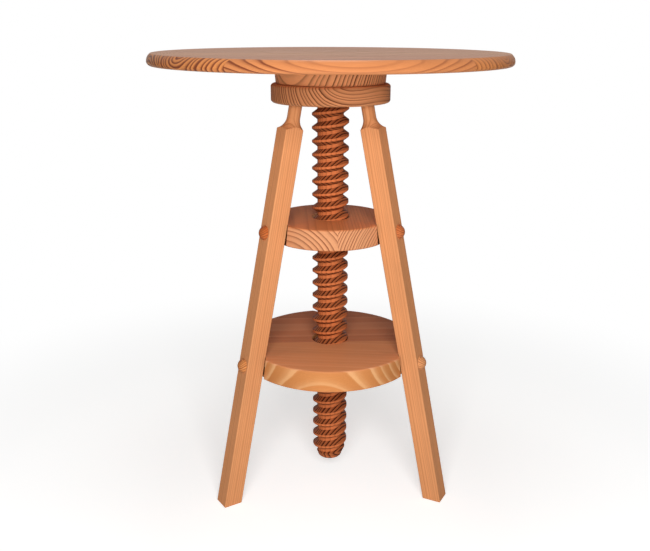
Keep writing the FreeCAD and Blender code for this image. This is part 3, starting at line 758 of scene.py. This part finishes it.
def drill(board, entry, inward, radius, depth, material):
    """Bore a round hole into a board."""
    bpy.ops.object.select_all(action="DESELECT")
    bpy.ops.mesh.primitive_cylinder_add(
        vertices=BORE_POINTS,
        radius=radius,
        depth=depth,
        location=entry + inward * depth / 2,
        rotation=turn_to(inward),
    )
    bit = bpy.context.active_object
    bit.data.materials.append(material)
    carve(board, bit)


def shelf_board(node, radius, joint, beyond_joint, face, inside):
    """Model a board of a shelf in place of its node, with seats for the legs and bores for the pegs."""
    sizes = bpy.context.scene.table_looks.shelf
    low, high = (corner.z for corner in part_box(node))
    board = round_disc(node.replace("_board", "_panel"), radius, low, high, sizes)
    bpy.ops.mesh.select_all(action="SELECT")
    bpy.ops.mesh.bisect(plane_co=joint, plane_no=beyond_joint, use_fill=True, clear_outer=True)
    bpy.ops.object.mode_set(mode="OBJECT")
    board.data.materials.append(face)
    for side in SIDES:
        foot, up, outward = leg_line(side)
        across = (outward - up * outward.dot(up)).normalized()
        inner_foot = foot - across * sizes.leg_width / 2
        touching = inner_foot + up * (high - inner_foot.z) / up.z
        cut_seat(board, touching, outward, up.angle(UP) * sizes.seat_lean, radius, inside)
        rim = outward * radius + UP * (low + high) / 2
        axis_point = foot + up * (rim - foot).dot(up)
        depth = sizes.peg_depth + (axis_point - rim).dot(across)
        drill(board, axis_point, -across, sizes.peg_bore, depth, inside)
    bpy.ops.object.select_all(action="DESELECT")
    board.select_set(True)
    bpy.ops.object.shade_smooth_by_angle(angle=SMOOTH_BELOW)
    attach(board, "stand")
    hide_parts(node)


# Where chance starts in each piece's grain, so that no two pieces share a pattern
TOP_SEED = 3.7
TOP_SEED_STEP = 1.9
HUB_SEED = 21.3
COLLAR_SEED = 33.1
MID_SHELF_SEEDS = {"left": 41.0, "right": 47.5}
LOWER_SHELF_SEEDS = {"front": 52.2, "rear": 58.9}
LEG_SEED = 61.0
LEG_SEED_STEP = 2.7
SPINDLE_SEED = 74.9
PEG_SEED = 81.0
PEG_SEED_STEP = 1.3
# Pith of each of the top's boards from the front: behind the screw's axis, above the top's underside
TOP_PITHS = (
    (-0.205, -0.092),
    (-0.172, 0.027),
    (-0.075, -0.040),
    (0.04, 0.075),
    (0.15, -0.055),
    (0.26, 0.06),
)
# Pith of each board of the shelves, and of the spindle
MID_SHELF_PITHS = {"left": (-0.077, 0, 0.428), "right": (0.2, 0, 0.4)}
LOWER_SHELF_PITHS = {"front": (0, -0.038, 0.285), "rear": (0, 0.06, 0.18)}
SPINDLE_PITH = (-0.11, 0.10, 0)
# Pith of a leg from its axis, outwards and to one side, and of a peg above its middle
LEG_PITH_OUT = 0.07
LEG_PITH_BESIDE = 0.06
PEG_PITH_RISE = 0.006
# Red, green and blue of each of the top's boards against the earlywood, from the front
BOARD_TONES = (
    (0.90, 1.03, 1.27),
    (1.02, 1.16, 1.24),
    (1.07, 1.34, 1.46),
    (1.06, 1.28, 1.38),
    (1.02, 1.14, 1.18),
    (1.0, 1.06, 1.1),
)
# Red, green and blue of the pegs in each leg against the pegs' earlywood
PEG_TONES = {"left": (1.0, 0.98, 0.93), "right": (1.1, 1.22, 1.5), "rear": WHITE}


def finish_disc(node, name, grain, seed):
    """Finish a thick round disc that is cut from a level trunk."""
    trunk = level(grain.trunk_turn)
    pith = middle(node) + square_to(trunk) * grain.pith_along + UP * grain.pith_rise
    dress(node, wood(name, grain, pith, trunk, seed))


def finish_shelf_board(node, radius, joint, beyond_joint, oiled, **cut):
    """Make a shelf's board with oiled faces, and painted shade where it is cut for the legs and pegs."""
    # The cut faces take the seat's near-black colour as painted shade
    painted_seat_shade = bpy.context.scene.table_looks.shelf.seat_shade_colour
    face = wood(f"oiled_{node}", early=oiled, **cut)
    inside = wood(f"stained_{node}", early=painted_seat_shade, **cut)
    shelf_board(node, radius, joint, beyond_joint, face, inside)


# Operators

class TABLE_OT_finish_top(bpy.types.Operator):
    """Give each board of the top its own cut of the trunk"""

    bl_idname = "table.finish_top"
    bl_label = "Finish the tabletop"

    def execute(self, context):
        grain = context.scene.table_looks.top
        trunk = level(grain.trunk_turn)
        across = square_to(trunk)
        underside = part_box(TOP_BOARDS[0])[0].z
        boards = zip(TOP_BOARDS, TOP_PITHS, BOARD_TONES)
        for number, (node, (back, up), tone) in enumerate(boards):
            finish = wood(
                f"oiled_{node}",
                grain,
                pith=across * back + UP * (underside + up),
                trunk=trunk,
                seed=TOP_SEED + TOP_SEED_STEP * number,
                early=toned(grain.early, tone),
                drift=grain.drift,
                rough=grain.roughness,
                edge=grain.edge,
            )
            dress(node, finish)
        return {"FINISHED"}


class TABLE_OT_finish_hub(bpy.types.Operator):
    """Finish the disc under the top"""

    bl_idname = "table.finish_hub"
    bl_label = "Finish the hub"

    def execute(self, context):
        finish_disc("hub", "oiled_hub", context.scene.table_looks.hub, HUB_SEED)
        return {"FINISHED"}


class TABLE_OT_finish_collar(bpy.types.Operator):
    """Finish the threaded collar"""

    bl_idname = "table.finish_collar"
    bl_label = "Finish the collar"

    def execute(self, context):
        finish_disc("threaded_collar", "oiled_collar", context.scene.table_looks.collar, COLLAR_SEED)
        return {"FINISHED"}


class TABLE_OT_finish_mid_shelf(bpy.types.Operator):
    """Model the boards of the small shelf, each with its own cut of the trunk"""

    bl_idname = "table.finish_mid_shelf"
    bl_label = "Finish the small shelf"

    def execute(self, context):
        grain = context.scene.table_looks.mid_shelf
        low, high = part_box("mid_shelf_left_board")
        boards = (
            ("left", TO_RIGHT, grain.left_spacing),
            ("right", TO_LEFT, grain.right_spacing),
        )
        for side, beyond_joint, spacing in boards:
            finish_shelf_board(
                f"mid_shelf_{side}_board",
                radius=-low.y,
                joint=Vector((high.x, 0, 0)),
                beyond_joint=beyond_joint,
                oiled=grain.early,
                grain=grain,
                pith=MID_SHELF_PITHS[side],
                trunk=TO_FRONT,
                seed=MID_SHELF_SEEDS[side],
                spacing=spacing,
            )
        return {"FINISHED"}


class TABLE_OT_finish_lower_shelf(bpy.types.Operator):
    """Model the boards of the large shelf, each with its own cut of the trunk"""

    bl_idname = "table.finish_lower_shelf"
    bl_label = "Finish the large shelf"

    def execute(self, context):
        grain = context.scene.table_looks.lower_shelf
        low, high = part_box("lower_shelf_front_board")
        boards = (
            ("front", TO_REAR, level(grain.front_turn), grain.front_spacing, grain.early),
            # The rear board takes its darker earlywood, painted shade at the back of the shelf
            ("rear", TO_FRONT, TO_RIGHT, grain.rear_spacing, grain.rear_shaded_early),
        )
        for side, beyond_joint, trunk, spacing, oiled in boards:
            finish_shelf_board(
                f"lower_shelf_{side}_board",
                radius=-low.y,
                joint=Vector((0, high.y, 0)),
                beyond_joint=beyond_joint,
                oiled=oiled,
                grain=grain,
                pith=LOWER_SHELF_PITHS[side],
                trunk=trunk,
                seed=LOWER_SHELF_SEEDS[side],
                spacing=spacing,
                edge=grain.edge,
            )
        return {"FINISHED"}


class TABLE_OT_finish_legs(bpy.types.Operator):
    """Give each leg straight grain along its length"""

    bl_idname = "table.finish_legs"
    bl_label = "Finish the legs"

    def execute(self, context):
        grain = context.scene.table_looks.leg
        for number, side in enumerate(SIDES):
            foot, up, outward = leg_line(side)
            beside = outward.cross(up).normalized()
            to_one_side = LEG_PITH_BESIDE if number % 2 else -LEG_PITH_BESIDE
            pith = foot + outward * LEG_PITH_OUT + beside * to_one_side
            seed = LEG_SEED + LEG_SEED_STEP * number
            dress(f"leg_{side}", wood(f"oiled_leg_{side}", grain, pith, up, seed))
        return {"FINISHED"}


class TABLE_OT_finish_spindle(bpy.types.Operator):
    """Finish the wooden screw"""

    bl_idname = "table.finish_spindle"
    bl_label = "Finish the spindle"

    def execute(self, context):
        grain = context.scene.table_looks.spindle
        dress("spindle", wood("oiled_spindle", grain, SPINDLE_PITH, UP, SPINDLE_SEED))
        return {"FINISHED"}


class TABLE_OT_finish_pegs(bpy.types.Operator):
    """Finish the pegs with rings on their domed ends"""

    bl_idname = "table.finish_pegs"
    bl_label = "Finish the pegs"

    def execute(self, context):
        grain = context.scene.table_looks.peg
        for number, side in enumerate(SIDES):
            up, outward = leg_line(side)[1:]
            trunk = up.cross(outward).cross(up)
            seed = PEG_SEED + PEG_SEED_STEP * number
            for height, colour in (("mid", grain.mid_early), ("lower", grain.early)):
                node = f"{height}_peg_{side}"
                pith = middle(node) + UP * PEG_PITH_RISE
                early = toned(colour, PEG_TONES[side])
                dress(node, wood(f"oiled_{node}", grain, pith, trunk, seed, early=early))
        return {"FINISHED"}


class TABLE_OT_finish_screws(bpy.types.Operator):
    """Finish the hidden steel screws and washer"""

    bl_idname = "table.finish_screws"
    bl_label = "Finish the screws"

    def execute(self, context):
        steel = zinc_steel()
        for node in ("hub_screws", "spindle_lag_screw", "spindle_washer"):
            dress(node, steel)
        return {"FINISHED"}


# Floor, lamps and camera

FLOOR_RADIUS = 14.0
FLOOR_POINTS = 96
# Where the floor begins to run out to white, and where it has, in metres from the table's middle
FLOOR_NEAR = 0.35
FLOOR_FAR = 1.15
# Place of each lamp, the point it is turned to, and the side of its square, in metres
KEY_LAMP = ((-0.05, -1.6, 0.97), (0, 0, 0.5), 1.0)
TOP_LAMP = ((0, 0.2, 2.2), (0, 0, 0.8), 0.6)
BACK_LAMPS = {
    "left": ((-1.3, 2.2, 0.45), (0, 0, 0.5), 0.8),
    "right": ((1.3, 2.2, 0.45), (0, 0, 0.5), 0.8),
}
SENSOR_WIDTH = 36.0


def seen_directly(wires, sheen=0.0):
    """One for camera and transmission rays, a share for glossy rays, and nought for the rest."""
    path = wires.node("ShaderNodeLightPath").outputs
    seen = wires.math("MAXIMUM", path["Is Camera Ray"], path["Is Transmission Ray"])
    return wires.math("MAXIMUM", seen, wires.math("MULTIPLY", path["Is Glossy Ray"], sheen))


def floor_material(colour, lift):
    """Pale floor that keeps the shadow near the table and runs out to white."""
    material, wires = empty_material("pale_floor")
    where = wires.node("ShaderNodeTexCoord").outputs["Object"]
    far = wires.node(
        "ShaderNodeMapRange",
        {"Value": wires.size(where), "From Min": FLOOR_NEAR, "From Max": FLOOR_FAR},
        interpolation_type="SMOOTHSTEP",
    ).outputs[0]
    seen = seen_directly(wires)
    glow_strength = wires.math("MULTIPLY", seen, lift)
    white_share = wires.math("MULTIPLY", far, seen)
    matt = wires.node("ShaderNodeBsdfDiffuse", {"Color": (*colour, 1.0)}).outputs[0]
    white = wires.node("ShaderNodeEmission", {"Color": (*WHITE, 1.0), "Strength": 1.0}).outputs[0]
    glow = wires.node("ShaderNodeEmission", {"Color": (*WHITE, 1.0), "Strength": glow_strength}).outputs[0]
    near = wires.node("ShaderNodeAddShader", {0: matt, 1: glow}).outputs[0]
    mixed = wires.node("ShaderNodeMixShader", {0: white_share, 1: near, 2: white})
    wires.node("ShaderNodeOutputMaterial", {"Surface": mixed.outputs[0]})
    return material


def white_world(ambient, reflection):
    """White where it is seen directly, and a soft even light elsewhere."""
    world = bpy.data.worlds.new("studio")
    world.use_nodes = True
    world.node_tree.nodes.clear()
    wires = Wiring(world.node_tree)
    strength = wires.math("MAXIMUM", seen_directly(wires, reflection), ambient)
    light = wires.node("ShaderNodeBackground", {"Color": (*WHITE, 1.0), "Strength": strength})
    wires.node("ShaderNodeOutputWorld", {"Surface": light.outputs[0]})
    return world


def lay_floor(settings):
    """Lay the round floor under the table."""
    bpy.ops.object.select_all(action="DESELECT")
    bpy.ops.mesh.primitive_circle_add(vertices=FLOOR_POINTS, radius=FLOOR_RADIUS, fill_type="NGON")
    floor = bpy.context.active_object
    floor.name = "studio_floor"
    floor.data.materials.append(floor_material(settings.floor_colour, settings.floor_lift))


def soft_box(name, location, target, size, watts):
    """A large square lamp turned to a point."""
    lamp = bpy.data.lights.new(name, "AREA")
    lamp.shape = "SQUARE"
    lamp.size = size
    lamp.energy = watts
    box = bpy.data.objects.new(name, lamp)
    box.location = location
    box.rotation_euler = (Vector(target) - Vector(location)).to_track_quat("-Z", "Y").to_euler()
    bpy.context.scene.collection.objects.link(box)
    return box


def hang_lamps(settings):
    """Hang the lamps in front, overhead and behind, with no mirror image of the front one."""
    key = soft_box("key_lamp", *KEY_LAMP, settings.key_power)
    key.visible_glossy = False
    soft_box("top_lamp", *TOP_LAMP, settings.top_power)
    for side, lamp in BACK_LAMPS.items():
        soft_box(f"back_lamp_{side}", *lamp, settings.back_power)


def set_camera(settings):
    """Set up the camera in front of the table."""
    lens = bpy.data.cameras.new("photo_camera")
    lens.sensor_fit = "HORIZONTAL"
    lens.sensor_width = SENSOR_WIDTH
    lens.lens = settings.focal_length
    lens.shift_x = settings.shift
    camera = bpy.data.objects.new("photo_camera", lens)
    bpy.context.scene.collection.objects.link(camera)
    around = Matrix.Rotation(-settings.camera_turn, 4, "Z")
    stand = Matrix.Translation((0, -settings.camera_distance, settings.camera_height))
    tip = Matrix.Rotation(math.pi / 2 - settings.camera_pitch, 4, "X")
    roll = Matrix.Rotation(settings.camera_roll, 4, "Z")
    camera.matrix_world = around @ stand @ tip @ roll
    bpy.context.scene.camera = camera


class TABLE_OT_set_stage(bpy.types.Operator):
    """Lay the floor, hang the lamps and set up the camera"""

    bl_idname = "table.set_stage"
    bl_label = "Set the stage"

    def execute(self, context):
        settings = context.scene.table_looks.stage
        lay_floor(settings)
        context.scene.world = white_world(settings.ambient, settings.reflection)
        hang_lamps(settings)
        set_camera(settings)
        context.scene.view_settings.view_transform = "Standard"
        return {"FINISHED"}


class TABLE_PT_looks(bpy.types.Panel):
    """Buttons for the table's looks"""

    bl_idname = "TABLE_PT_looks"
    bl_label = "Swivel table"
    bl_space_type = "VIEW_3D"
    bl_region_type = "UI"
    bl_category = "Table"

    def draw(self, context):
        for operator in OPERATORS:
            self.layout.operator(operator.bl_idname)


PROPERTY_GROUPS = (
    TopGrain,
    HubGrain,
    CollarGrain,
    MidShelfGrain,
    LowerShelfGrain,
    LegGrain,
    SpindleGrain,
    PegGrain,
    ShelfSizes,
    StageSettings,
    TableLooks,
)
OPERATORS = (
    TABLE_OT_finish_top,
    TABLE_OT_finish_hub,
    TABLE_OT_finish_collar,
    TABLE_OT_finish_mid_shelf,
    TABLE_OT_finish_lower_shelf,
    TABLE_OT_finish_legs,
    TABLE_OT_finish_spindle,
    TABLE_OT_finish_pegs,
    TABLE_OT_finish_screws,
    TABLE_OT_set_stage,
)
CLASSES = PROPERTY_GROUPS + OPERATORS + (TABLE_PT_looks,)


def register():
    """Make the settings, operators and panel known to Blender."""
    for item in CLASSES:
        bpy.utils.register_class(item)
    bpy.types.Scene.table_looks = PointerProperty(type=TableLooks)


def unregister():
    """Take the settings, operators and panel away again."""
    del bpy.types.Scene.table_looks
    for item in reversed(CLASSES):
        bpy.utils.unregister_class(item)


def main():
    """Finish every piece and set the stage."""
    register()
    bpy.ops.table.finish_top()
    bpy.ops.table.finish_hub()
    bpy.ops.table.finish_collar()
    bpy.ops.table.finish_mid_shelf()
    bpy.ops.table.finish_lower_shelf()
    bpy.ops.table.finish_legs()
    bpy.ops.table.finish_spindle()
    bpy.ops.table.finish_pegs()
    bpy.ops.table.finish_screws()
    bpy.ops.table.set_stage()


if __name__ == "__main__":
    main()
